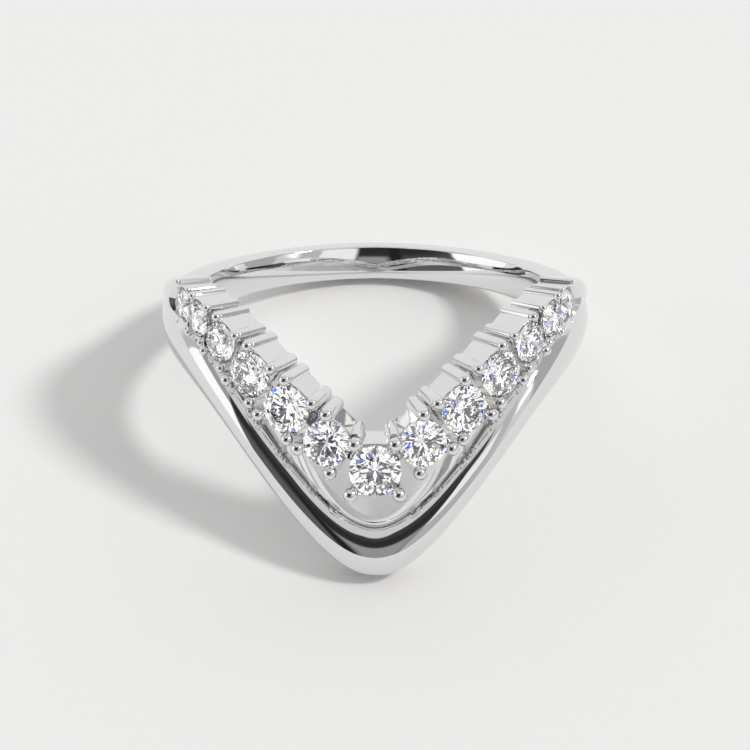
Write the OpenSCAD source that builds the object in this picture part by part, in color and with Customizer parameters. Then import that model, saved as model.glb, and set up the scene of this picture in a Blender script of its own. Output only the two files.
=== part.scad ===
// Chevron ring in polished white metal. One shank splits at the sides of the finger into two
// V-shaped bands: an upper one that carries a row of round brilliants, and a plain lower one.
// The ring leans as it does on a table, on the tip of the plain V and on the back of the shank.
// The origin is on the table under the middle of the ring. The V points to -Y, the back is +Y.

/* [Finger hole and shank] */
// Inside diameter, the finger size
bore_d = 17; // [15:0.1:20]
// Width of the shank at the back of the finger
shank_w = 1.75; // [1.4:0.05:2.4]
// Thickness of the plain metal, from the finger to the crown of its dome
band_t = 1.9; // [1.6:0.05:2.3]
// Height of the dome on the outside of the plain metal
dome_h = 0.85; // [0.5:0.05:1.1]

/* [Plain V] */
// Height of the plain band where it slopes, measured along the finger
plain_w = 2.69; // [2.3:0.01:2.9]
// Height of the plain band at the tip of its V
plain_tip_w = 2.5; // [2.2:0.05:2.8]
// How far the plain V drops below the shank
plain_drop = 9.55; // [8.2:0.05:11]
// Angle round the finger at which the plain V runs out into the shank
plain_reach = 49.5; // [45:0.5:54]
// How softly the tip of the plain V is rounded, in degrees round the finger
plain_tip_round = 17.2; // [13:0.1:21]
// How softly the plain V bends into the shank, in degrees round the finger
plain_side_round = 22.9; // [16:0.1:28]

/* [Stone V] */
// How far the centre stone drops below the shank
stone_drop = 5.5; // [4.8:0.1:6]
// How far the ends of the stone row rise above the middle of the shank
stone_rise = 1.05; // [0.8:0.05:1.2]
// Angle round the finger at which the stone V bends towards the shank
stone_reach = 49.8; // [44:0.2:54]
// How softly the tip of the stone V is rounded, in degrees round the finger
stone_tip_round = 3.6; // [2:0.1:6]
// How softly the stone V bends at the sides, in degrees round the finger
stone_side_round = 12.5; // [8:0.1:16]
// Distance from the finger to the girdle of the centre stone
seat_h = 2; // [1.8:0.01:2.3]
// How much lower the outermost stones sit than the centre one
seat_fall = 0.5; // [0.3:0.05:0.7]

/* [Stones] */
// Diameter of the centre stone
stone_d = 2.4; // [2.1:0.02:2.6]
// Space between the edges of two neighbouring stones
stone_gap = 0.2; // [0.12:0.01:0.3]
// Space left between a stone and the metal that holds it
seat_clear = 0.03; // [0.02:0.005:0.06]

/* [Prongs and gallery] */
// Diameter of the beads on the centre stone's prongs
bead_d = 0.71; // [0.6:0.01:0.78]
// Distance from a stone's edge to the middle of its beads
bead_out = 0.27; // [0.22:0.01:0.32]
// Height of the middle of a bead above the stone's edge
bead_lift = 0.06; // [0:0.01:0.15]
// Angle between the row and a line from a stone's middle to its upper bead
bead_angle = 54; // [50:1:60]
// The same angle for the centre stone's lower beads, which stand wider apart
low_bead_angle = 45; // [40:1:55]
// How much that lower angle grows from each stone to the next
low_bead_turn = 3; // [0:0.5:4]
// Distance from a stone's edge to the outside of its side panels
panel_out = 0.1; // [0.06:0.01:0.16]
// Height of the side panels above the stones' edges
panel_rise = 0.08; // [0.04:0.01:0.12]
// Thickness of the rail that joins the heads, measured from the finger
rail_t = 1.0; // [0.8:0.05:1.2]
// How far the rail stands back from the upper side panels
rail_back = 0.16; // [0.1:0.01:0.24]
// How far the rail reaches below the row, as a share of how far it reaches above it
rail_low = 0.35; // [0.2:0.05:0.6]

/* [Hidden] */
$fn = 32;

bore_r = bore_d / 2;
// The sweeps start this far inside the finger hole, and the round cut then gives the wall.
bore_stock = 0.25;
metal_colour = [0.86, 0.87, 0.89];
stone_colour = [0.93, 0.95, 1.0];

// Diameters of the stones from the centre outwards, as shares of the centre stone
STONE_SHARES = [1, 0.92, 0.935, 0.89, 0.775, 0.7, 0.655];
// Number of stones on each side of the centre one
stone_side = len(STONE_SHARES) - 1;
function stone_size(i) = stone_d * STONE_SHARES[abs(i)];

// Smooth step from 0 at a to 1 at b
function ease(t, a, b) = let (u = min(1, max(0, (t - a) / (b - a)))) u * u * (3 - 2 * u);

// Height of a V's middle line at angle t round the finger, from tip at the front to side at the
// back. The tip is a hyperbola, and a second one bends the arms into the shank.
function soft_min(a, reach, w) = (a + reach - sqrt((a - reach) * (a - reach) + w * w)) / 2;
function vee(t, tip, side, reach, tip_round, side_round) =
  let (a = sqrt(t * t + tip_round * tip_round),
       at_tip = soft_min(tip_round, reach, side_round),
       at_back = soft_min(sqrt(180 * 180 + tip_round * tip_round), reach, side_round))
  tip + (side - tip) * (soft_min(a, reach, side_round) - at_tip) / (at_back - at_tip);

function plain_z(t) = vee(t, -plain_drop, 0, plain_reach, plain_tip_round, plain_side_round);
function stone_z(t) = vee(t, -stone_drop, stone_rise, stone_reach, stone_tip_round, stone_side_round);

// Half height of the plain band and shank at angle t
function plain_half(t) =
  (shank_w + (plain_w - shank_w) * ease(180 - abs(t), 40, 110)
   + (plain_tip_w - plain_w) * exp(-t * t / 36)) / 2;
function shank_top(t) = plain_z(t) + plain_half(t);

// A point at angle t round the finger, at radius r and height z. The front is -Y.
function at(t, r, z) = [r * sin(t), -r * cos(t), z];

// The point straight in or out from p, at radius r
function under(p, r) = let (k = r / norm([p[0], p[1]])) [p[0] * k, p[1] * k, p[2]];

// D-shaped section at angle t between two heights: flat sides, then half an ellipse outside
DOME_STEPS = 10;
function d_section(t, low, high, r_out, dome) =
  let (mid = (low + high) / 2, half = (high - low) / 2)
  concat(
    [at(t, bore_r - bore_stock, low)],
    [for (k = [0:DOME_STEPS]) let (a = -90 + 180 * k / DOME_STEPS)
      at(t, r_out - dome + dome * cos(a), mid + half * sin(a))],
    [at(t, bore_r - bore_stock, high)]);

// Plain flat section at angle t between two heights
function flat_section(t, low, high, r_out) = [
  at(t, bore_r - bore_stock, low), at(t, r_out, low), at(t, r_out, high), at(t, bore_r - bore_stock, high)];

// Solid swept through sections that each have the same number of points
module sweep(sections, closed = false) {
  n = len(sections[0]);
  m = len(sections);
  last = closed ? m - 1 : m - 2;
  walls = [for (s = [0:last], k = [0:n - 1], half = [0:1])
    let (e = (k + 1) % n, next = (s + 1) % m,
         a = s * n + k, b = s * n + e, c = next * n + k, d = next * n + e)
    half == 0 ? [a, b, c] : [b, d, c]];
  caps = closed ? [] : [[for (k = [n - 1:-1:0]) k], [for (k = [0:n - 1]) (m - 1) * n + k]];
  polyhedron([for (s = sections) for (p = s) p], concat(walls, caps), convexity = 10);
}

// Lean of the ring. It is turned until the tip of the plain V and the back of the shank are
// equally low, so both rest on the table.
RING_STEP = 3;
ring_sections = [for (t = [-180:RING_STEP:180 - RING_STEP])
  d_section(t, plain_z(t) - plain_half(t), plain_z(t) + plain_half(t), bore_r + band_t, dome_h)];
// What is stock inside the finger hole is counted where the hole's wall will be.
function on_metal(p) = norm([p[0], p[1]]) < bore_r ? under(p, bore_r) : p;
front_points = [for (s = ring_sections) for (p = s) if (p[1] < 0) on_metal(p)];
back_points = [for (s = ring_sections) for (p = s) if (p[1] > 0) on_metal(p)];
function lowest(points, a) = min([for (p = points) p[2] * cos(a) - p[1] * sin(a)]);
function balance(lo, hi, steps) =
  let (mid = (lo + hi) / 2)
  steps == 0 ? mid
  : lowest(front_points, mid) < lowest(back_points, mid) ? balance(mid, hi, steps - 1)
  : balance(lo, mid, steps - 1);
lean = balance(5, 50, 24);
table_z = lowest(front_points, lean);
depths = [for (s = ring_sections) for (p = s) p[1] * cos(lean) + p[2] * sin(lean)];
depth_mid = (min(depths) + max(depths)) / 2;
module as_it_lies() {
  translate([0, -depth_mid, -table_z]) rotate([-lean, 0, 0]) children();
}

// The stones follow one another along the V. Each next one is found by halving.
function girdle_r(t) = bore_r + seat_h - seat_fall * pow(t / 64, 2);
function row_point(t) = at(t, girdle_r(t), stone_z(t));
function next_angle(t, step, lo, hi, steps) =
  let (mid = (lo + hi) / 2)
  steps == 0 ? mid
  : norm(row_point(mid) - row_point(t)) < step ? next_angle(t, step, mid, hi, steps - 1)
  : next_angle(t, step, lo, mid, steps - 1);
function pitch(i) = (stone_size(i) + stone_size(i + 1)) / 2 + stone_gap;
function row_angles(i, t) =
  i == stone_side ? [t] : concat([t], row_angles(i + 1, next_angle(t, pitch(i), t, t + 30, 24)));
ROW = row_angles(0, 0);
function stone_angle(i) = sign(i) * ROW[abs(i)];

// How steeply the row runs under a stone
function row_slope(i) = i == 0 ? 0
  : let (t = stone_angle(i)) atan((stone_z(t + 1) - stone_z(t - 1)) / (girdle_r(t) * PI / 90));

// Puts its children in a stone's own place: X along the row, Y up the finger, Z straight out from
// the finger, with the middle of the stone's edge at the origin.
module in_seat(i) {
  t = stone_angle(i);
  translate(row_point(t)) rotate([0, 0, t]) rotate([90, 0, 0]) rotate([0, 0, row_slope(i)]) children();
}

// Proportions of a round brilliant, as shares of its diameter
TABLE = 0.56;
CROWN = 0.15;
PAVILION = 0.43;
GIRDLE = 0.03;
STAR = 0.78;
LOWER = 0.22;

// A round brilliant: table, 8 stars, 8 kites, 16 upper halves, girdle, 16 lower halves, 8 mains
function ring_of(n, r, h, turn) =
  [for (k = [0:n - 1]) let (a = 360 * k / n + turn) [r * cos(a), r * sin(a), h]];
module brilliant(d) {
  r = d / 2;
  g = GIRDLE * r;
  table_r = TABLE * r;
  star_r = STAR * r;
  lower_r = LOWER * r;
  crown_h = g + CROWN * d;
  pavilion_h = g + PAVILION * d;
  kite_slope = (crown_h - g) / (r - table_r);
  main_slope = (pavilion_h - g) / r;
  star_h = crown_h - (star_r * cos(22.5) - table_r) * kite_slope;
  lower_h = -pavilion_h + lower_r * cos(22.5) * main_slope;
  points = concat(
    ring_of(8, table_r, crown_h, 0), ring_of(8, star_r, star_h, 22.5),
    ring_of(16, r, g, 0), ring_of(16, r, -g, 0),
    ring_of(8, lower_r, lower_h, 22.5), [[0, 0, -pavilion_h]]);
  STARS = 8;
  TOP = 16;
  BOTTOM = 32;
  LOWERS = 48;
  CULET = 56;
  faces = concat(
    [[7, 6, 5, 4, 3, 2, 1, 0]],
    [for (k = [0:7]) [k, (k + 1) % 8, STARS + k]],
    [for (k = [0:7]) [k, STARS + k, TOP + 2 * k, STARS + (k + 7) % 8]],
    [for (k = [0:7]) [STARS + k, TOP + 2 * k + 1, TOP + 2 * k]],
    [for (k = [0:7]) [STARS + k, TOP + (2 * k + 2) % 16, TOP + 2 * k + 1]],
    [for (k = [0:15]) [TOP + k, TOP + (k + 1) % 16, BOTTOM + (k + 1) % 16, BOTTOM + k]],
    [for (k = [0:7]) [BOTTOM + 2 * k, BOTTOM + 2 * k + 1, LOWERS + k]],
    [for (k = [0:7]) [BOTTOM + 2 * k + 1, BOTTOM + (2 * k + 2) % 16, LOWERS + k]],
    [for (k = [0:7]) [BOTTOM + 2 * k, LOWERS + k, CULET, LOWERS + (k + 7) % 8]]);
  polyhedron(points, faces, convexity = 4);
}

module stone(i) {
  color(stone_colour) as_it_lies() in_seat(i) brilliant(stone_size(i));
}

// Space for a stone: its own outline with the clearance round it, and a hole down to the finger
module stone_space(i) {
  d = stone_size(i);
  r = d / 2 + seat_clear;
  g = GIRDLE * d / 2 + seat_clear;
  crown_h = g + CROWN * d;
  hole_r = 0.2 * d;
  hole_top = -g - (r - hole_r) * PAVILION * 2;
  in_seat(i) rotate_extrude()
    polygon([[0, -seat_h - 1], [hole_r, -seat_h - 1], [hole_r, hole_top], [r, -g], [r, g],
             [TABLE * d / 2 + seat_clear, crown_h], [0, crown_h]]);
}

// Opening above a stone's edge, which flares and so leaves a bright bevel round the seat. Round the
// last stones it is higher, and cuts a crescent into the shoulder.
module seat_mouth(i) {
  r = stone_size(i) / 2 + seat_clear;
  in_seat(i) if (abs(i) == stone_side) cylinder(h = 1, r1 = r, r2 = r + 0.9);
  else cylinder(h = 0.3, r1 = r, r2 = r + 0.36);
}

// Diameters of the beads from the centre outwards, as shares of the centre stone's beads
BEAD_SHARES = [1, 0.94, 0.865, 0.78, 0.66, 0.53, 0.39];
function bead_r(i) = bead_d * BEAD_SHARES[abs(i)] / 2;
function bead_ring(i) = stone_size(i) / 2 + bead_out + (i == 0 || abs(i) == stone_side ? 0.1 : 0);
// Place of a bead in its stone's seat, for a corner such as [1, -1]
function bead_at(i, c) =
  let (a = c[1] < 0 ? low_bead_angle + low_bead_turn * abs(i) : bead_angle)
  [c[0] * bead_ring(i) * cos(a), c[1] * bead_ring(i) * sin(a), bead_lift];
// The point of the ring that lies at p in a stone's seat
function seat_point(i, p) =
  let (t = stone_angle(i), a = row_slope(i),
       along = p[0] * cos(a) - p[1] * sin(a), up = p[0] * sin(a) + p[1] * cos(a))
  row_point(t) + [along * cos(t) + p[2] * sin(t), along * sin(t) - p[2] * cos(t), up];
CORNERS = [[-1, -1], [-1, 1], [1, -1], [1, 1]];
// The centre stone's upper two beads also hold its neighbours. The neighbours' own ribs there have
// no bead, and run in beside the shared one.
function shares_bead(i, c) = abs(i) == 1 && c[0] == -sign(i) && c[1] == 1;
// Width of a rib as a share of its bead. The upper ribs are wider than their beads.
SLIM_RIB = 0.93;
WIDE_RIB = 1.15;
CENTRE_RIB = 0.85;
function rib_share(i, c) = c[1] < 0 || shares_bead(i, c) ? SLIM_RIB : i == 0 ? CENTRE_RIB : WIDE_RIB;
// A rib's axis. The wide ribs lie a little lower than their beads.
function rib_point(i, c) =
  let (b = bead_at(i, c), fall = max(0, rib_share(i, c) - SLIM_RIB) * bead_r(i),
       own = seat_point(i, [b[0], b[1] - fall, b[2]]))
  shares_bead(i, c) ? (own + seat_point(0, bead_at(0, [sign(i), 1]))) / 2 : own;

// Head under a stone: a block between the prongs that runs straight in to the finger. Its lower
// side ends at its lower ribs. Beside the centre stone it makes room for the shared ribs.
module head(i) {
  side = bead_at(i, [1, 1])[0] + bead_r(i) * 0.6;
  left = i == 1 ? 0.6 * side : side;
  right = i == -1 ? 0.6 * side : side;
  high = stone_size(i) / 2 + panel_out - (abs(i) == 1 ? 0.07 : 0);
  low = max(-high, bead_at(i, [1, -1])[1]);
  top = [for (p = [[-left, low], [-left, high], [right, high], [right, low]])
    seat_point(i, [p[0], p[1], panel_rise])];
  sweep([[for (p = top) under(p, bore_r - bore_stock)], top]);
}

// Puts its children at a point, with Z straight out from the finger
module pointing_out(p) {
  translate(p) rotate([0, 0, atan2(p[0], -p[1])]) rotate([90, 0, 0]) children();
}

// Prongs: a round rib from the finger to each bead, with a bevelled end
module prongs(i) {
  for (c = CORNERS) let (p = rib_point(i, c), r = rib_share(i, c) * bead_r(i),
      short = rib_share(i, c) == WIDE_RIB ? 0.35 * bead_r(i) : shares_bead(i, c) ? 0.05 : 0,
      depth = norm([p[0], p[1]]) - bore_r + bore_stock) {
    pointing_out(p) {
      translate([0, 0, -depth]) cylinder(h = depth - short - 0.05, r = r);
      translate([0, 0, -short - 0.06]) cylinder(h = 0.06, r1 = r, r2 = r - 0.05);
    }
    if (!shares_bead(i, c)) pointing_out(seat_point(i, bead_at(i, c))) sphere(r = bead_r(i));
  }
}

// Rail that joins the heads along the V
module rail() {
  last = ROW[stone_side];
  function half_at(t) = let (share = min(1, abs(t) / last))
    (stone_d + (stone_size(stone_side) - stone_d) * share * share) / 2 + panel_out - rail_back;
  sweep([for (k = [-22:22]) let (t = last * k / 22)
    flat_section(t, stone_z(t) - rail_low * half_at(t), stone_z(t) + half_at(t), bore_r + rail_t)]);
}

// Shoulder: the end of the stone band, which tapers into the top of the shank
SHOULDER_END = 106;
module shoulder(side) {
  start = ROW[stone_side];
  half = stone_size(stone_side) / 2 + panel_out;
  steps = 16;
  sweep([for (k = [0:steps]) let (u = side < 0 ? 1 - k / steps : k / steps,
      t = start + (SHOULDER_END - start) * u, blend = ease(t, start + 4, SHOULDER_END),
      high = (stone_z(t) + half) * (1 - blend) + (shank_top(t) - 0.05) * blend,
      low = (stone_z(t) - half) * (1 - blend) + (shank_top(t) - 0.6) * blend)
    d_section(side * t, low, high, bore_r + band_t - 0.02 - 0.35 * blend * blend, dome_h * 0.8)]);
}

module band() {
  color(metal_colour) as_it_lies() difference() {
    union() {
      sweep(ring_sections, closed = true);
      difference() {
        union() {
          rail();
          shoulder(-1);
          shoulder(1);
          for (i = [-stone_side:stone_side]) head(i);
        }
        for (i = [-stone_side:stone_side]) seat_mouth(i);
      }
      for (i = [-stone_side:stone_side]) prongs(i);
    }
    for (i = [-stone_side:stone_side]) stone_space(i);
    translate([0, 0, -plain_drop - 6]) cylinder(h = plain_drop + 14, r = bore_r, $fn = 96);
  }
}

band();
stone(0);  // stone_centre
stone(-1);  // stone_left_1
stone(-2);  // stone_left_2
stone(-3);  // stone_left_3
stone(-4);  // stone_left_4
stone(-5);  // stone_left_5
stone(-6);  // stone_left_6
stone(1);  // stone_right_1
stone(2);  // stone_right_2
stone(3);  // stone_right_3
stone(4);  // stone_right_4
stone(5);  // stone_right_5
stone(6);  // stone_right_6
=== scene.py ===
# Looks of the chevron ring: polished white gold round thirteen brilliants, lying on a white table.
# Lengths in the sections are millimetres, in the ring's own frame, until on_table() places them.
import math

import bmesh
import bpy
from mathutils import Euler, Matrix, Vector


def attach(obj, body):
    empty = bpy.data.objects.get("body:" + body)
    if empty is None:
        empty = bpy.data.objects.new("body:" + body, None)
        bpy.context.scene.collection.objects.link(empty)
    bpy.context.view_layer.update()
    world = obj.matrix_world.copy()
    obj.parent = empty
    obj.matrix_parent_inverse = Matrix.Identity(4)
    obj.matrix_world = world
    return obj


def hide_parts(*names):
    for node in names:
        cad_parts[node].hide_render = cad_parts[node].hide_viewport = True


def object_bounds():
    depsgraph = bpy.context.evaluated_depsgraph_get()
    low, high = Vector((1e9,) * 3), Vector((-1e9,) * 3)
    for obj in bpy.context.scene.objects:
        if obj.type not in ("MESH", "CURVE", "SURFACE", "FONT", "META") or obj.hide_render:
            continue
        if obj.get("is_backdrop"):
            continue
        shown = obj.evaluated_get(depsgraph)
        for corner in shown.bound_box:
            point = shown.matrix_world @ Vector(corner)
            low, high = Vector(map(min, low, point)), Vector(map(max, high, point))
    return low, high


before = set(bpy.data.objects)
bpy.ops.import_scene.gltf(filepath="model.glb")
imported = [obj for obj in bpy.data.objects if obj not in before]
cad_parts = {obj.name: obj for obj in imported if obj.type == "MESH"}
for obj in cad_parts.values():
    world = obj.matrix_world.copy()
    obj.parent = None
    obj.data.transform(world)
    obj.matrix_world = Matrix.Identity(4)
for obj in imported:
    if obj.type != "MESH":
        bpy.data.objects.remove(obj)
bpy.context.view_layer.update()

# Plain V and shank. One wire of white gold, D-shaped in section, is bent round the finger: flat
# sides, a domed outside, and a wall with eased edges, curved for comfort at the back. It is wider
# at the front, where it drops to a rounded point.
MM = 0.001
BORE_R = 8.5
SHANK_W = 1.75
BAND_T = 1.9
DOME_H = 0.85
PLAIN_W = 2.69
PLAIN_TIP_W = 2.5
PLAIN_DROP = 9.55
PLAIN_REACH = 49.5
PLAIN_TIP_ROUND = 17.2
PLAIN_SIDE_ROUND = 22.9
WALL_EASE = 0.11
WALL_CURVE = 0.1
TURN_STEP = 0.75
# Angles round the finger, in degrees. The wire widens between two that are counted from the back.
# Its wall takes its curve between two counted from the front. The narrow tip fades out over one.
WIDENS = (40, 110)
WALL_CURVES = (95, 130)
TIP_REACH = 6

# The ring lies on the tip of the plain V and on the back of its shank, so it leans back. The part's
# source works these three out from the shape, and they change when it does.
LEAN = math.radians(28.5489)
TABLE_Z = -5.42461
DEPTH_MID = -2.33468


def on_table(point):
    """A point of the ring's frame, in mm, as it lies on the table, in metres."""
    x, y, z = point
    back = y * math.cos(LEAN) + z * math.sin(LEAN) - DEPTH_MID
    up = -y * math.sin(LEAN) + z * math.cos(LEAN) - TABLE_Z
    return Vector((x * MM, back * MM, up * MM))


def round_finger(angle, radius, height):
    """The point at an angle round the finger, in degrees from the front."""
    a = math.radians(angle)
    return Vector((radius * math.sin(a), -radius * math.cos(a), height))


def ease(value, start, end):
    u = min(1, max(0, (value - start) / (end - start)))
    return u * u * (3 - 2 * u)


def soft_min(a, reach, width):
    return (a + reach - math.hypot(a - reach, width)) / 2


def vee(angle, tip, side, reach, tip_round, side_round):
    """Height of a V's middle line: a hyperbola at the tip, and a bend into the shank."""
    at_tip = soft_min(tip_round, reach, side_round)
    at_back = soft_min(math.hypot(180, tip_round), reach, side_round)
    here = soft_min(math.hypot(angle, tip_round), reach, side_round)
    return tip + (side - tip) * (here - at_tip) / (at_back - at_tip)


def plain_z(angle):
    return vee(angle, -PLAIN_DROP, 0, PLAIN_REACH, PLAIN_TIP_ROUND, PLAIN_SIDE_ROUND)


def plain_half(angle):
    along_arms = (PLAIN_W - SHANK_W) * ease(180 - abs(angle), *WIDENS)
    at_tip = (PLAIN_TIP_W - PLAIN_W) * math.exp(-angle * angle / TIP_REACH**2)
    return (SHANK_W + along_arms + at_tip) / 2


def d_section(angle, low, high, r_in, r_out, dome, edge=0, curve=0, steps=28):
    """Section of a domed band: flat sides, half an ellipse outside and an eased, curved wall."""
    middle, half = (low + high) / 2, (high - low) / 2
    lower, wall = [(r_in, low)], []
    if edge:
        turns = [math.radians(22.5 * k) for k in range(5)]
        r = r_in + curve + edge
        lower = [(r - edge * math.cos(a), low + edge * (1 - math.sin(a))) for a in turns]
        shares = [1 - k / 6 for k in range(1, 12)]
        wall = [(r_in + curve * u * u, middle + (half - edge) * u) for u in shares]
    turns = [math.radians(-90 + 180 * k / steps) for k in range(steps + 1)]
    outside = [(r_out - dome + dome * math.cos(a), middle + half * math.sin(a)) for a in turns]
    upper = [(r, low + high - z) for r, z in reversed(lower)]
    return [round_finger(angle, r, z) for r, z in lower + outside + upper + wall]


def solid(name, points, faces):
    """A closed mesh object from points of the ring's frame, with its faces turned outwards."""
    mesh = bpy.data.meshes.new(name)
    mesh.from_pydata([on_table(p) for p in points], [], faces)
    bm = bmesh.new()
    bm.from_mesh(mesh)
    bmesh.ops.recalc_face_normals(bm, faces=bm.faces)
    bm.to_mesh(mesh)
    bm.free()
    made = bpy.data.objects.new(name, mesh)
    bpy.context.scene.collection.objects.link(made)
    return made


def swept(name, sections, closed=False):
    """A solid through sections that each have the same number of points."""
    n, m = len(sections[0]), len(sections)
    faces = []
    for s in range(m if closed else m - 1):
        here, there = s * n, (s + 1) % m * n
        faces += [(here + k, here + (k + 1) % n, there + (k + 1) % n, there + k) for k in range(n)]
    if not closed:
        faces += [tuple(range(n)), tuple((m - 1) * n + k for k in range(n))]
    return solid(name, [p for s in sections for p in s], faces)


band = swept(
    "band_polished",
    [
        d_section(
            t,
            plain_z(t) - plain_half(t),
            plain_z(t) + plain_half(t),
            BORE_R,
            BORE_R + BAND_T,
            DOME_H,
            WALL_EASE,
            WALL_CURVE * ease(abs(t), *WALL_CURVES),
        )
        for t in [k * TURN_STEP - 180 for k in range(round(360 / TURN_STEP))]
    ],
    closed=True,
)

# Rail and shoulders. A low rail of white gold, cast in one with the heads, joins all thirteen along
# the upper V. At each end it grows into a domed shoulder, which thins out on the top of the shank
# and is soldered to it.
STONE_DROP = 5.5
STONE_RISE = 1.05
STONE_REACH = 49.8
STONE_TIP_ROUND = 3.6
STONE_SIDE_ROUND = 12.5
STONE_D = 2.4
STONE_GAP = 0.2
SEAT_H = 2
SEAT_FALL = 0.5
SEAT_FALL_AT = 64
STONE_SHARES = [1, 0.92, 0.935, 0.89, 0.775, 0.7, 0.655]
LAST = len(STONE_SHARES) - 1
PANEL_OUT = 0.1
RAIL_T = 1.0
RAIL_BACK = 0.16
RAIL_LOW = 0.35
RAIL_STEPS = 66
SHOULDER_START = 4
SHOULDER_END = 106
SHOULDER_STEPS = 60
SHOULDER_SINK = 0.05
SHOULDER_TIP_H = 0.6
SHOULDER_BACK = 0.02
SHOULDER_THINS = 0.35
SHOULDER_DOME = DOME_H * 0.8
STOCK = 0.25


def stone_size(i):
    return STONE_D * STONE_SHARES[abs(i)]


def stone_z(angle):
    return vee(angle, -STONE_DROP, STONE_RISE, STONE_REACH, STONE_TIP_ROUND, STONE_SIDE_ROUND)


def girdle_r(angle):
    return BORE_R + SEAT_H - SEAT_FALL * (angle / SEAT_FALL_AT) ** 2


def row_point(angle):
    return round_finger(angle, girdle_r(angle), stone_z(angle))


# The stones follow one another along the V. Each next one's angle is found by halving.
SEARCH_ANGLE = 30
HALVINGS = 30
row = [0.0]
for i in range(LAST):
    pitch = (stone_size(i) + stone_size(i + 1)) / 2 + STONE_GAP
    near, far = row[-1], row[-1] + SEARCH_ANGLE
    for _ in range(HALVINGS):
        middle = (near + far) / 2
        if (row_point(middle) - row_point(row[-1])).length < pitch:
            near = middle
        else:
            far = middle
    row.append((near + far) / 2)


def rail_half(angle):
    share = min(1, abs(angle) / row[LAST])
    return (STONE_D + (stone_size(LAST) - STONE_D) * share * share) / 2 + PANEL_OUT - RAIL_BACK


rail_sections = []
for t in [row[LAST] * k / RAIL_STEPS for k in range(-RAIL_STEPS, RAIL_STEPS + 1)]:
    low, high = stone_z(t) - RAIL_LOW * rail_half(t), stone_z(t) + rail_half(t)
    corners = [(BORE_R - STOCK, low), (BORE_R + RAIL_T, low)]
    corners += [(BORE_R + RAIL_T, high), (BORE_R - STOCK, high)]
    rail_sections.append([round_finger(t, r, z) for r, z in corners])
rail = swept("rail", rail_sections)

shoulders = []
for side in (-1, 1):
    sections = []
    for k in range(SHOULDER_STEPS + 1):
        t = row[LAST] + (SHOULDER_END - row[LAST]) * k / SHOULDER_STEPS
        blend = ease(t, row[LAST] + SHOULDER_START, SHOULDER_END)
        half = stone_size(LAST) / 2 + PANEL_OUT
        shank_top = plain_z(t) + plain_half(t)
        high = (stone_z(t) + half) * (1 - blend) + (shank_top - SHOULDER_SINK) * blend
        low = (stone_z(t) - half) * (1 - blend) + (shank_top - SHOULDER_TIP_H) * blend
        r_out = BORE_R + BAND_T - SHOULDER_BACK - SHOULDER_THINS * blend * blend
        sections.append(d_section(side * t, low, high, BORE_R - STOCK, r_out, SHOULDER_DOME))
    shoulders.append(swept("shoulder", sections))

# Heads. Each stone sits on a block of its own between its prongs, cast with the band and softly
# rounded at its edges. The block runs straight in to the finger. The two beside the centre stone
# are narrower and a little lower, to leave room for the prongs that they share with it.
BEAD_D = 0.71
BEAD_OUT = 0.27
END_BEADS_OUT = 0.1
BEAD_LIFT = 0.06
BEAD_ANGLE = 54
LOW_BEAD_ANGLE = 45
LOW_BEAD_TURN = 3
BEAD_SHARES = [1, 0.94, 0.865, 0.78, 0.66, 0.53, 0.39]
PANEL_RISE = 0.08
PANEL_EDGE = 0.045
OVER_BEAD = 0.6
SHARED_SIDE = 0.6
SHARED_IN = 0.07
ROW = range(-LAST, LAST + 1)


def stone_angle(i):
    return math.copysign(row[abs(i)], i)


def in_seat(i, point):
    """A point of a stone's own place: along the row, up the finger and straight out from it."""
    t = stone_angle(i)
    rise = stone_z(t + 1) - stone_z(t - 1) if i else 0
    slope = math.atan(rise / (girdle_r(t) * math.pi / 90))
    along = point[0] * math.cos(slope) - point[1] * math.sin(slope)
    up = point[0] * math.sin(slope) + point[1] * math.cos(slope)
    a = math.radians(t)
    return row_point(t) + Vector(
        (
            along * math.cos(a) + point[2] * math.sin(a),
            along * math.sin(a) - point[2] * math.cos(a),
            up,
        )
    )


def straight_in(point, radius):
    k = radius / math.hypot(point[0], point[1])
    return Vector((point[0] * k, point[1] * k, point[2]))


def bead_r(i):
    return BEAD_D * BEAD_SHARES[abs(i)] / 2


def bead_at(i, corner):
    angle = BEAD_ANGLE if corner[1] > 0 else LOW_BEAD_ANGLE + LOW_BEAD_TURN * abs(i)
    reach = stone_size(i) / 2 + BEAD_OUT + (END_BEADS_OUT if abs(i) in (0, LAST) else 0)
    a = math.radians(angle)
    return (corner[0] * reach * math.cos(a), corner[1] * reach * math.sin(a), BEAD_LIFT)


def joined(name, pieces):
    """One object from several."""
    mesh = bpy.data.meshes.new(name)
    bm = bmesh.new()
    for piece in pieces:
        bm.from_mesh(piece.data)
        bpy.data.objects.remove(piece)
    bm.to_mesh(mesh)
    bm.free()
    made = bpy.data.objects.new(name, mesh)
    bpy.context.scene.collection.objects.link(made)
    return made


def head(i):
    side = bead_at(i, (1, 1))[0] + bead_r(i) * OVER_BEAD
    left = SHARED_SIDE * side if i == 1 else side
    right = SHARED_SIDE * side if i == -1 else side
    high = stone_size(i) / 2 + PANEL_OUT - (SHARED_IN if abs(i) == 1 else 0)
    low = max(-high, bead_at(i, (1, -1))[1])
    top = [
        in_seat(i, (a, b, PANEL_RISE))
        for a, b in ((-left, low), (-left, high), (right, high), (right, low))
    ]
    block = swept("head", [[straight_in(p, BORE_R - STOCK) for p in top], top])
    bm = bmesh.new()
    bm.from_mesh(block.data)
    bm.verts.ensure_lookup_table()
    rounded = [e for e in bm.edges if max(v.index for v in e.verts) > 3]
    bmesh.ops.bevel(
        bm, geom=rounded, offset=PANEL_EDGE * MM, segments=3, affect="EDGES", profile=0.5
    )
    bm.to_mesh(block.data)
    bm.free()
    return block


heads = [joined("heads", [head(i) for i in ROW if i % 2 == odd]) for odd in (0, 1)]

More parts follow.
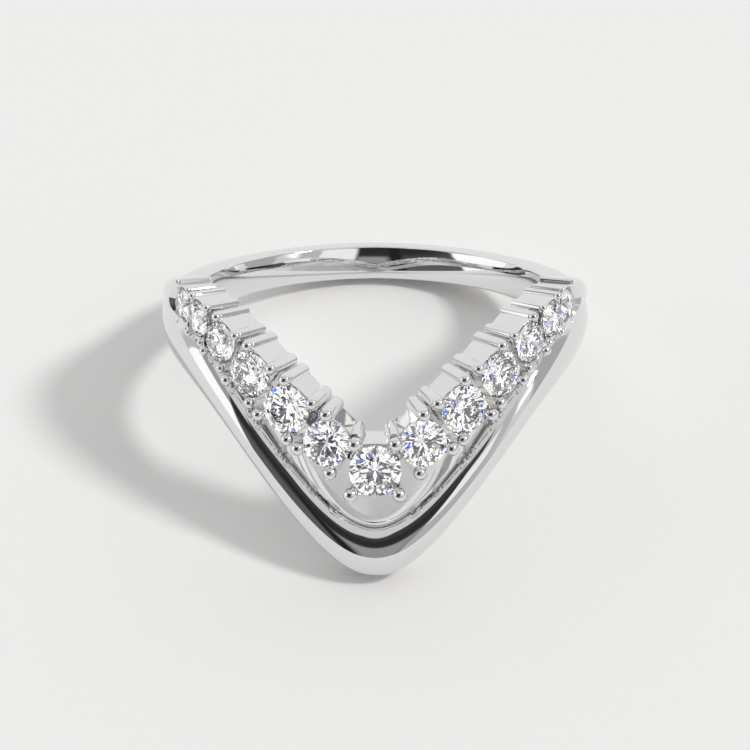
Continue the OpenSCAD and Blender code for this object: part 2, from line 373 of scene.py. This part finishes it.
# Prongs. Four round ribs run up each head from the finger, and each ends in a ball that is bent
# over the stone's edge. The upper ribs are wider than their balls. The centre stone's upper two
# balls also hold its neighbours, whose own ribs there end short beside them.
WIDE_RIB = 1.15
SLIM_RIB = 0.93
CENTRE_RIB = 0.85
RIB_ROUND = 0.06
WIDE_RIB_SHORT = 0.35
SHARED_RIB_SHORT = 0.05
CORNERS = ((-1, -1), (-1, 1), (1, -1), (1, 1))


def turned(name, foot, out, profile, steps=40):
    """A turned solid along out, from points (radius, height) between two ends on its axis."""
    across = Vector((-out[1], out[0], 0))
    points, faces = [foot + out * profile[0][1]], []
    for r, h in profile[1:-1]:
        for k in range(steps):
            a = 2 * math.pi * k / steps
            side_way = across * math.cos(a) + Vector((0, 0, 1)) * math.sin(a)
            points.append(foot + out * h + side_way * r)
    points.append(foot + out * profile[-1][1])
    rings = len(profile) - 2
    for k in range(steps):
        e = (k + 1) % steps
        faces.append((0, 1 + e, 1 + k))
        for s in range(rings - 1):
            a, b = 1 + s * steps, 1 + (s + 1) * steps
            faces.append((a + k, a + e, b + e, b + k))
        a = 1 + (rings - 1) * steps
        faces.append((a + k, a + e, len(points) - 1))
    return solid(name, points, faces)


def shares_bead(i, corner):
    return abs(i) == 1 and corner[0] == -i and corner[1] == 1


def outwards(point):
    return Vector((point[0], point[1], 0)).normalized()


def rib(i, corner):
    share = SLIM_RIB
    if corner[1] > 0 and not shares_bead(i, corner):
        share = WIDE_RIB if i else CENTRE_RIB
    r = share * bead_r(i)
    own = bead_at(i, corner)
    lowered = (own[0], own[1] - max(0, share - SLIM_RIB) * bead_r(i), own[2])
    foot = in_seat(i, lowered)
    short = WIDE_RIB_SHORT * bead_r(i) if share == WIDE_RIB else 0
    if shares_bead(i, corner):
        foot = (foot + in_seat(0, bead_at(0, (i, 1)))) / 2
        short = SHARED_RIB_SHORT
    depth = math.hypot(foot[0], foot[1]) - BORE_R + STOCK
    profile = [(0, -depth), (r, -depth)]
    for k in range(6):
        a = math.pi / 2 * k / 5
        profile.append((r - RIB_ROUND * (1 - math.cos(a)), -short - RIB_ROUND * (1 - math.sin(a))))
    return turned("rib", foot, outwards(foot), profile + [(0, -short)])


def ball(i, corner):
    middle, r = in_seat(i, bead_at(i, corner)), bead_r(i)
    turns = [math.pi * k / 20 for k in range(21)]
    profile = [(r * math.sin(a), -r * math.cos(a)) for a in turns]
    return turned("ball", middle, outwards(middle), profile)


prongs = []
for corner in CORNERS:
    prongs.append(joined("ribs", [rib(i, corner) for i in ROW]))
    beaded = [i for i in ROW if not shares_bead(i, corner)]
    prongs.append(joined("balls", [ball(i, corner) for i in beaded]))

# Seats and finger hole. The setter cuts a seat to each stone's own outline, with a bright bevel
# round it and a hole below it down to the finger. The last seats flare more and cut a crescent into
# the shoulders. The finger hole is reamed last, a hair outside the wire's own wall.
SEAT_CLEAR = 0.03
MOUTH_H = 0.3
MOUTH_FLARE = 0.36
LAST_MOUTH_H = 1
LAST_MOUTH_FLARE = 0.9
HOLE_SHARE = 0.2
PAST_WALL = 1
REAMED = 0.004
SHARP_FROM = 30
GIRDLE = 0.03
TABLE = 0.56
CROWN = 0.15
PAVILION = 0.43


def turned_in_seat(i, profile, steps=96):
    """A turned cutter in a stone's place, from points (radius, height) that start and end at 0."""
    points = [in_seat(i, (0, 0, profile[0][1]))]
    for r, h in profile[1:-1]:
        for k in range(steps):
            a = 2 * math.pi * k / steps
            points.append(in_seat(i, (r * math.cos(a), r * math.sin(a), h)))
    points.append(in_seat(i, (0, 0, profile[-1][1])))
    faces, rings = [], len(profile) - 2
    for k in range(steps):
        e = (k + 1) % steps
        faces.append((0, 1 + e, 1 + k))
        for s in range(rings - 1):
            a, b = 1 + s * steps, 1 + (s + 1) * steps
            faces.append((a + k, a + e, b + e, b + k))
        a = 1 + (rings - 1) * steps
        faces.append((a + k, a + e, len(points) - 1))
    return solid("cutter", points, faces)


def mouth(i):
    r = stone_size(i) / 2 + SEAT_CLEAR
    flare, high = MOUTH_FLARE, MOUTH_H
    if abs(i) == LAST:
        flare, high = LAST_MOUTH_FLARE, LAST_MOUTH_H
    return turned_in_seat(i, [(0, 0), (r, 0), (r + flare, high), (0, high)])


def stone_space(i):
    d = stone_size(i)
    r, g = d / 2 + SEAT_CLEAR, GIRDLE * d / 2 + SEAT_CLEAR
    hole = HOLE_SHARE * d
    return turned_in_seat(
        i,
        [
            (0, -SEAT_H - PAST_WALL),
            (hole, -SEAT_H - PAST_WALL),
            (hole, -g - (r - hole) * PAVILION * 2),
            (r, -g),
            (r, g),
            (TABLE * d / 2 + SEAT_CLEAR, g + CROWN * d),
            (0, g + CROWN * d),
        ],
    )


def cut_or_join(target, operation, others):
    """Joins the others to the target, or cuts them out of it, and then removes them."""
    for other in others:
        step = target.modifiers.new("step", "BOOLEAN")
        step.operation, step.solver, step.object = operation, "MANIFOLD", other
    bpy.context.view_layer.update()
    graph = bpy.context.evaluated_depsgraph_get()
    mesh = bpy.data.meshes.new_from_object(target.evaluated_get(graph))
    target.modifiers.clear()
    target.data = mesh
    for other in others:
        bpy.data.objects.remove(other)


finger = []
for height in (-PLAIN_DROP - 6, 8):
    finger.append([round_finger(t, BORE_R + REAMED, height) for t in range(360)])
stone_band = rail
cut_or_join(stone_band, "UNION", shoulders + heads)
mouths = [joined("mouths", [mouth(i) for i in ROW if i % 2 == odd]) for odd in (0, 1)]
cut_or_join(stone_band, "DIFFERENCE", mouths)
cut_or_join(stone_band, "UNION", prongs)
spaces = [joined("spaces", [stone_space(i) for i in ROW if i % 2 == odd]) for odd in (0, 1)]
cut_or_join(stone_band, "DIFFERENCE", spaces + [swept("finger", finger)])
cut_or_join(band, "UNION", [stone_band])
band.data.shade_smooth()
band.data.set_sharp_from_angle(angle=math.radians(SHARP_FROM))


def linear(hex_colour):
    """An sRGB hex colour as linear red, green, blue and 1."""
    parts = [int(hex_colour[k : k + 2], 16) / 255 for k in (1, 3, 5)]
    return [p / 12.92 if p <= 0.04045 else ((p + 0.055) / 1.055) ** 2.4 for p in parts] + [1]


def node(tree, kind, settings=(), **inputs):
    """Adds a node. settings are its own properties, and inputs its sockets' values or links."""
    made = tree.nodes.new(kind)
    for name, value in dict(settings).items():
        setattr(made, name, value)
    for name, value in inputs.items():
        key = int(name[1:]) if name[1:].isdigit() else name.replace("_", " ")
        socket = made.inputs[key]
        if isinstance(value, bpy.types.NodeSocket):
            tree.links.new(value, socket)
        else:
            socket.default_value = value
    return made


def material(name):
    made = bpy.data.materials.new(name)
    made.use_nodes = True
    made.node_tree.nodes.clear()
    return made, made.node_tree


# White gold, rhodium plated and mirror polished: nearly colourless, with the faint waves of the
# polishing wheel, about 1 mm apart, and wiping marks that soften a reflection here and there. Real
# ones are hair-fine and wouldn't show, so they are drawn about 0.3 mm wide. Its edges are buffed
# round by a few hundredths of a millimetre.
WAVES_PER_MM = 0.9
WIPES_PER_MM = 3.5
BUFFED = 0.03
white_gold, tree = material("white_gold_rhodium_mirror_polish")
place = node(tree, "ShaderNodeTexCoord").outputs["Object"]
waves = node(
    tree, "ShaderNodeTexNoise", Vector=place, Scale=WAVES_PER_MM / MM, Detail=2.0, Roughness=0.4
)
wiped = node(
    tree, "ShaderNodeTexNoise", Vector=place, Scale=WIPES_PER_MM / MM, Detail=3.0, Roughness=0.6
)
gloss = node(
    tree, "ShaderNodeMapRange", i0=wiped.outputs["Fac"], i1=0.3, i2=0.75, i3=0.02, i4=0.05
)
edges = node(tree, "ShaderNodeBevel", {"samples": 6}, Radius=BUFFED * MM)
bump = node(
    tree,
    "ShaderNodeBump",
    Strength=0.02,
    Distance=0.02 * MM,
    Height=waves.outputs["Fac"],
    Normal=edges.outputs["Normal"],
)
shader = node(
    tree,
    "ShaderNodeBsdfPrincipled",
    Base_Color=linear("#E8E8E8"),
    Metallic=1.0,
    Roughness=gloss.outputs["Result"],
    Normal=bump.outputs["Normal"],
)
node(tree, "ShaderNodeOutputMaterial", Surface=shader.outputs["BSDF"])
band.data.materials.clear()
band.data.materials.append(white_gold)
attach(band, "root")
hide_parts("band")

# Stones. Thirteen round brilliants, cut and polished diamond, each in its seat with its prongs bent
# over its edge. Flat facets bend and mirror what is round them. Their polishing lines dull them a
# very little, and are far finer in a real stone than they are drawn.
LINES_PER_MM = 6
diamond, tree = material("diamond_polished_facets")
place = node(tree, "ShaderNodeTexCoord").outputs["Object"]
lines = node(tree, "ShaderNodeTexNoise", Vector=place, Scale=LINES_PER_MM / MM, Detail=2.0)
gloss = node(
    tree, "ShaderNodeMapRange", i0=lines.outputs["Fac"], i1=0.4, i2=0.8, i3=0.0, i4=0.01
)
shader = node(
    tree,
    "ShaderNodeBsdfPrincipled",
    Base_Color=linear("#FDFDFF"),
    Roughness=gloss.outputs["Result"],
    IOR=2.417,
    Transmission_Weight=1.0,
)
node(tree, "ShaderNodeOutputMaterial", Surface=shader.outputs["BSDF"])
for name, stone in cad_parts.items():
    if name.startswith("stone_"):
        for slot in stone.material_slots:
            slot.material = diamond

# Table. A seamless sheet of matt white board, so much larger than the ring that the photograph
# doesn't show its edge. Its fibres keep the white from being quite even. They are drawn about
# 0.4 mm wide, since real ones are too fine to show.
TABLE_REACH = 1500
FIBRES_PER_MM = 2.5
mesh = bpy.data.meshes.new("table_board")
reach = TABLE_REACH * MM
mesh.from_pydata(
    [(x * reach, y * reach, 0) for x, y in ((-1, -1), (1, -1), (1, 1), (-1, 1))],
    [],
    [(0, 1, 2, 3)],
)
board = bpy.data.objects.new("table_board", mesh)
bpy.context.scene.collection.objects.link(board)
matt_white, tree = material("white_board_matt")
place = node(tree, "ShaderNodeTexCoord").outputs["Object"]
grain = node(tree, "ShaderNodeTexNoise", Vector=place, Scale=FIBRES_PER_MM / MM, Detail=3.0)
shade = node(
    tree,
    "ShaderNodeMix",
    {"data_type": "RGBA"},
    i0=grain.outputs["Fac"],
    i6=linear("#F2F1F0"),
    i7=linear("#F5F4F3"),
)
shader = node(
    tree,
    "ShaderNodeBsdfPrincipled",
    Base_Color=shade.outputs["Result"],
    Roughness=0.9,
    Specular_IOR_Level=0.1,
)
node(tree, "ShaderNodeOutputMaterial", Surface=shader.outputs["BSDF"])
board.data.materials.append(matt_white)
board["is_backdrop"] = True

# Studio. A tent of white cloth over the table, with a dark gap on the camera's side and lit panels
# left and right of it. Polished metal mirrors them: grey from above, dark in front of the camera
# and white edges beside it. Directions are degrees round from the front, + right, and above level.
CAMERA_RISE = math.radians(15)
world = bpy.data.worlds.new("studio_tent")
bpy.context.scene.world = world
world.use_nodes = True
tree = world.node_tree
tree.nodes.clear()
way = node(tree, "ShaderNodeTexCoord").outputs["Generated"]
parts = node(tree, "ShaderNodeSeparateXYZ", Vector=way)


def step(value, start, end, low, high):
    """A smooth change from low to high between two values."""
    return node(
        tree,
        "ShaderNodeMapRange",
        {"interpolation_type": "SMOOTHSTEP"},
        i0=value,
        i1=start,
        i2=end,
        i3=low,
        i4=high,
    ).outputs["Result"]


def maths(operation, a, b=0.0):
    return node(tree, "ShaderNodeMath", {"operation": operation}, i0=a, i1=b).outputs[0]


def blend(share, a, b):
    """a where share is 0 and b where it is 1."""
    return node(
        tree, "ShaderNodeMix", {"data_type": "FLOAT"}, i0=share, i2=a, i3=b
    ).outputs["Result"]


x, y, z = parts.outputs
way_round = maths("DEGREES", maths("ARCTAN2", x, maths("MULTIPLY", y, -1.0)))
above_level = maths("DEGREES", maths("ARCSINE", z))


def between(value, start, end, soft):
    """1 between two values and 0 outside them, with soft edges."""
    inside = step(value, start, start + soft, 0, 1), step(value, end - soft, end, 1, 0)
    return maths("MULTIPLY", *inside)


def panel(tent, left, right, low, high, light, soft=4):
    """Hangs a panel in the tent, between two directions round and two heights."""
    wide, tall = between(way_round, left, right, soft), between(above_level, low, high, soft)
    return blend(maths("MULTIPLY", wide, tall), tent, light)


BELOW = -9
# Walls, brighter behind the ring, and the roof over them
tent = step(maths("ABSOLUTE", way_round), 112, 124, 0.56, 0.88)
tent = blend(step(above_level, 52, 57, 0, 1), tent, 0.7)
# Side walls, and the low lit panel on the left
tent = panel(tent, 74, 116, BELOW, 56, 0.46)
tent = panel(tent, -112, -42, 30, 58, 0.38, 6)
tent = panel(tent, -106, -59, BELOW, 35, 1.2, 3)
# Two lit panels on the right, each in a dimmer frame
tent = panel(tent, 56, 78, BELOW, 54, 0.72)
tent = panel(tent, 59, 77, 20, 40, 1.25)
tent = panel(tent, 44, 60, BELOW, 54, 0.55)
tent = panel(tent, 12, 48, BELOW, 50, 0.5)
tent = panel(tent, 13, 46, 22, 48, 1.0)
# Dark gap in front, its arched top, the pale strip below the lens and the black pole beside it
tent = panel(tent, -63, 16, BELOW, 56, step(above_level, 16, 38, 0.12, 0.03))
tent = panel(tent, -38, 26, 46, 66, 0.05, 6)
tent = panel(tent, -12, 16, BELOW, 32, 0.34, 6)
tent = panel(tent, -22, -10, BELOW, 46, 0.02, 3)

# What the stones gather, bent and mirrored by their facets: white cloth with a few grey gaps and a
# dark ring round the lens, which draws the arrows. Here and there a small blue flash.
to_lens = (0.0, -math.cos(CAMERA_RISE + LEAN), math.sin(CAMERA_RISE + LEAN))
facing = node(tree, "ShaderNodeVectorMath", {"operation": "DOT_PRODUCT"}, i0=way, i1=to_lens)
off_lens = maths("DEGREES", maths("ARCCOSINE", maths("MINIMUM", facing.outputs["Value"], 1.0)))
patches = node(tree, "ShaderNodeTexVoronoi", Vector=way, Scale=2.4)
tone = node(tree, "ShaderNodeSeparateColor", Color=patches.outputs["Color"])
ramp = node(tree, "ShaderNodeValToRGB", i0=tone.outputs["Red"])
ramp.color_ramp.interpolation = "CONSTANT"
stops = [
    (0, "#3C3C42"),
    (0.09, "#C4C1BC"),
    (0.3, "#EFEAE0"),
    (0.5, "#FFFFFF"),
    (0.96, "#2F62F0"),
]
ramp.color_ramp.elements[0].color = linear(stops[0][1])
ramp.color_ramp.elements[1].position = stops[-1][0]
ramp.color_ramp.elements[1].color = linear(stops[-1][1])
for share, colour in stops[1:-1]:
    ramp.color_ramp.elements.new(share).color = linear(colour)
round_lens = maths("MULTIPLY", step(off_lens, 6, 7, 0, 1), step(off_lens, 19, 21, 1, 0))
shaded = node(
    tree,
    "ShaderNodeMix",
    {"data_type": "RGBA"},
    i0=round_lens,
    i6=ramp.outputs["Color"],
    i7=linear("#35333E"),
).outputs["Result"]
backdrop = node(tree, "ShaderNodeBackground", Color=linear("#F0EFED"), Strength=1.0)
studio = node(tree, "ShaderNodeBackground", Color=(1, 1, 1, 1), Strength=tent)
gathered = node(tree, "ShaderNodeBackground", Color=shaded, Strength=1.6)
rays = node(tree, "ShaderNodeLightPath")
bent = node(
    tree,
    "ShaderNodeMixShader",
    i0=rays.outputs["Is Transmission Ray"],
    i1=studio.outputs["Background"],
    i2=gathered.outputs["Background"],
)
both = node(
    tree,
    "ShaderNodeMixShader",
    i0=rays.outputs["Is Camera Ray"],
    i1=bent.outputs["Shader"],
    i2=backdrop.outputs["Background"],
)
node(tree, "ShaderNodeOutputWorld", Surface=both.outputs["Shader"])

# Key lamp. A softbox far off on the right and a little in front, ten degrees wide as seen from the
# ring. It casts the soft-edged shadow to the left.
LAMP_WAY = (0.89, -0.2, 1)
LAMP_WIDE = math.radians(10)
key = bpy.data.lights.new("key_lamp", "SUN")
key.energy, key.angle = 1.38, LAMP_WIDE
lamp = bpy.data.objects.new("key_lamp", key)
bpy.context.scene.collection.objects.link(lamp)
lamp.rotation_euler = Vector(LAMP_WAY).to_track_quat("Z", "Y").to_euler()

# Camera. A long lens on the ring's middle plane, at the photograph's angle: 15 degrees above the
# plane of the finger hole, and so about 44 degrees above the table, on which the ring leans back.
CAMERA_FAR = 110
CAMERA_DROP = 3.70
LENS_PX = 2245.8
FRAME_PX = 750
SENSOR = 36
OFF_MIDDLE_PX = 0.1
camera_data = bpy.data.cameras.new("camera")
camera = bpy.data.objects.new("camera", camera_data)
bpy.context.scene.collection.objects.link(camera)
away = Vector((0, -math.cos(CAMERA_RISE), math.sin(CAMERA_RISE)))
above = Vector((0, math.sin(CAMERA_RISE), math.cos(CAMERA_RISE)))
camera.location = on_table(away * CAMERA_FAR - above * CAMERA_DROP)
tilt = math.pi / 2 - CAMERA_RISE - LEAN
camera.rotation_euler = Euler((tilt, 0, 0))
camera_data.sensor_width = SENSOR
camera_data.lens = SENSOR * LENS_PX / FRAME_PX
camera_data.shift_x = -OFF_MIDDLE_PX / FRAME_PX
camera_data.clip_start, camera_data.clip_end = 0.01, 10
scene = bpy.context.scene
scene.camera = camera
scene.view_settings.view_transform = "Standard"
# Light bounces often inside a stone before it comes out again.
scene.cycles.max_bounces = 24
scene.cycles.transmission_bounces = 20
scene.cycles.glossy_bounces = 12
scene.cycles.diffuse_bounces = 4
scene.cycles.use_denoising = True
scene.cycles.sample_clamp_indirect = 8

low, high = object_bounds()
